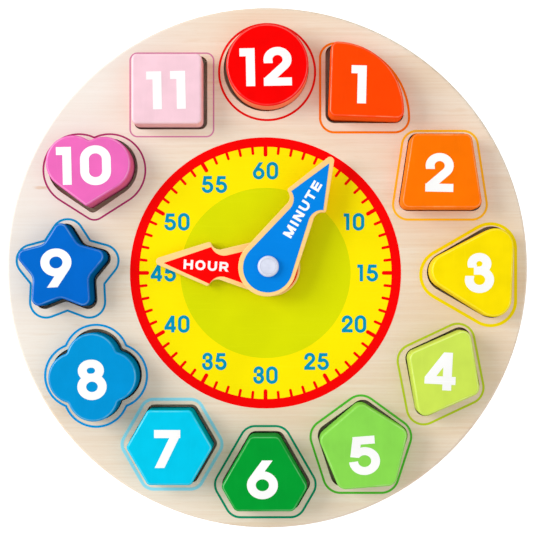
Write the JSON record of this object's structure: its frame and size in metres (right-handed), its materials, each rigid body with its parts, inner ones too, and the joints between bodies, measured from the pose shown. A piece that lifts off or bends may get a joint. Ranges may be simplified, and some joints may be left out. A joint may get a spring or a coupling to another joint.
{
  "type": "wooden shape sorting teaching clock",
  "caption": "Round wooden teaching clock with lift-out numbered shape blocks in fitted pockets and two arrow hands that turn on a central pin.",
  "frame": {"origin": "centre of the clock's flat back face", "axes": "+Z out of the dial, +Y to twelve o'clock, +X to three o'clock"},
  "size_m": [0.22, 0.22, 0.018],
  "materials": {
    "board_plywood": "sanded and clear-lacquered light plywood",
    "hand_plywood": "clear-lacquered plywood with warm cut edges",
    "white_plastic": "moulded, satin gloss",
    "washer_plastic": "natural translucent white",
    "red_paint": "satin toy paint over solid wood",
    "orange_red_paint": "satin toy paint over solid wood",
    "orange_paint": "satin toy paint over solid wood",
    "yellow_paint": "satin toy paint over solid wood",
    "lime_paint": "satin toy paint over solid wood",
    "light_green_paint": "satin toy paint over solid wood",
    "green_paint": "satin toy paint over solid wood",
    "cyan_paint": "satin toy paint over solid wood",
    "sky_blue_paint": "satin toy paint over solid wood",
    "blue_paint": "satin toy paint over solid wood",
    "magenta_paint": "satin toy paint over solid wood",
    "pink_paint": "satin toy paint over solid wood"
  },
  "bodies": {
    "board": {"back_board": "board_plywood", "face_board": "board_plywood", "pivot_pin": "white_plastic", "pin_socket": "white_plastic", "dial_washer": "washer_plastic", "hand_washer": "washer_plastic"},
    "hour_hand": {"hour_hand": "hand_plywood"},
    "minute_hand": {"minute_hand": "hand_plywood"},
    "block_12_disc": {"block_12_disc": "red_paint"},
    "block_01_quarter_round": {"block_01_quarter_round": "orange_red_paint"},
    "block_02_trapezoid": {"block_02_trapezoid": "orange_paint"},
    "block_03_triangle": {"block_03_triangle": "yellow_paint"},
    "block_04_rhombus": {"block_04_rhombus": "lime_paint"},
    "block_05_pentagon": {"block_05_pentagon": "light_green_paint"},
    "block_06_cut_triangle": {"block_06_cut_triangle": "green_paint"},
    "block_07_hexagon": {"block_07_hexagon": "cyan_paint"},
    "block_08_quatrefoil": {"block_08_quatrefoil": "sky_blue_paint"},
    "block_09_star": {"block_09_star": "blue_paint"},
    "block_10_heart": {"block_10_heart": "magenta_paint"},
    "block_11_square": {"block_11_square": "pink_paint"}
  },
  "joints": [
    {"name": "hour_hand_turn", "type": "hinge", "parent": "board", "child": "hour_hand", "pos_m": [0.0006, 0.0003, 0.0104], "axis": [0, 0, -1], "continuous": true},
    {"name": "minute_hand_turn", "type": "hinge", "parent": "board", "child": "minute_hand", "pos_m": [0.0006, 0.0003, 0.0144], "axis": [0, 0, -1], "continuous": true},
    {"name": "block_12_disc_lift", "type": "slide", "parent": "board", "child": "block_12_disc", "axis": [0, 0, 1], "range_m": [0, 0.025]},
    {"name": "block_01_quarter_round_lift", "type": "slide", "parent": "board", "child": "block_01_quarter_round", "axis": [0, 0, 1], "range_m": [0, 0.025]},
    {"name": "block_02_trapezoid_lift", "type": "slide", "parent": "board", "child": "block_02_trapezoid", "axis": [0, 0, 1], "range_m": [0, 0.025]},
    {"name": "block_03_triangle_lift", "type": "slide", "parent": "board", "child": "block_03_triangle", "axis": [0, 0, 1], "range_m": [0, 0.025]},
    {"name": "block_04_rhombus_lift", "type": "slide", "parent": "board", "child": "block_04_rhombus", "axis": [0, 0, 1], "range_m": [0, 0.025]},
    {"name": "block_05_pentagon_lift", "type": "slide", "parent": "board", "child": "block_05_pentagon", "axis": [0, 0, 1], "range_m": [0, 0.025]},
    {"name": "block_06_cut_triangle_lift", "type": "slide", "parent": "board", "child": "block_06_cut_triangle", "axis": [0, 0, 1], "range_m": [0, 0.025]},
    {"name": "block_07_hexagon_lift", "type": "slide", "parent": "board", "child": "block_07_hexagon", "axis": [0, 0, 1], "range_m": [0, 0.025]},
    {"name": "block_08_quatrefoil_lift", "type": "slide", "parent": "board", "child": "block_08_quatrefoil", "axis": [0, 0, 1], "range_m": [0, 0.025]},
    {"name": "block_09_star_lift", "type": "slide", "parent": "board", "child": "block_09_star", "axis": [0, 0, 1], "range_m": [0, 0.025]},
    {"name": "block_10_heart_lift", "type": "slide", "parent": "board", "child": "block_10_heart", "axis": [0, 0, 1], "range_m": [0, 0.025]},
    {"name": "block_11_square_lift", "type": "slide", "parent": "board", "child": "block_11_square", "axis": [0, 0, 1], "range_m": [0, 0.025]}
  ]
}
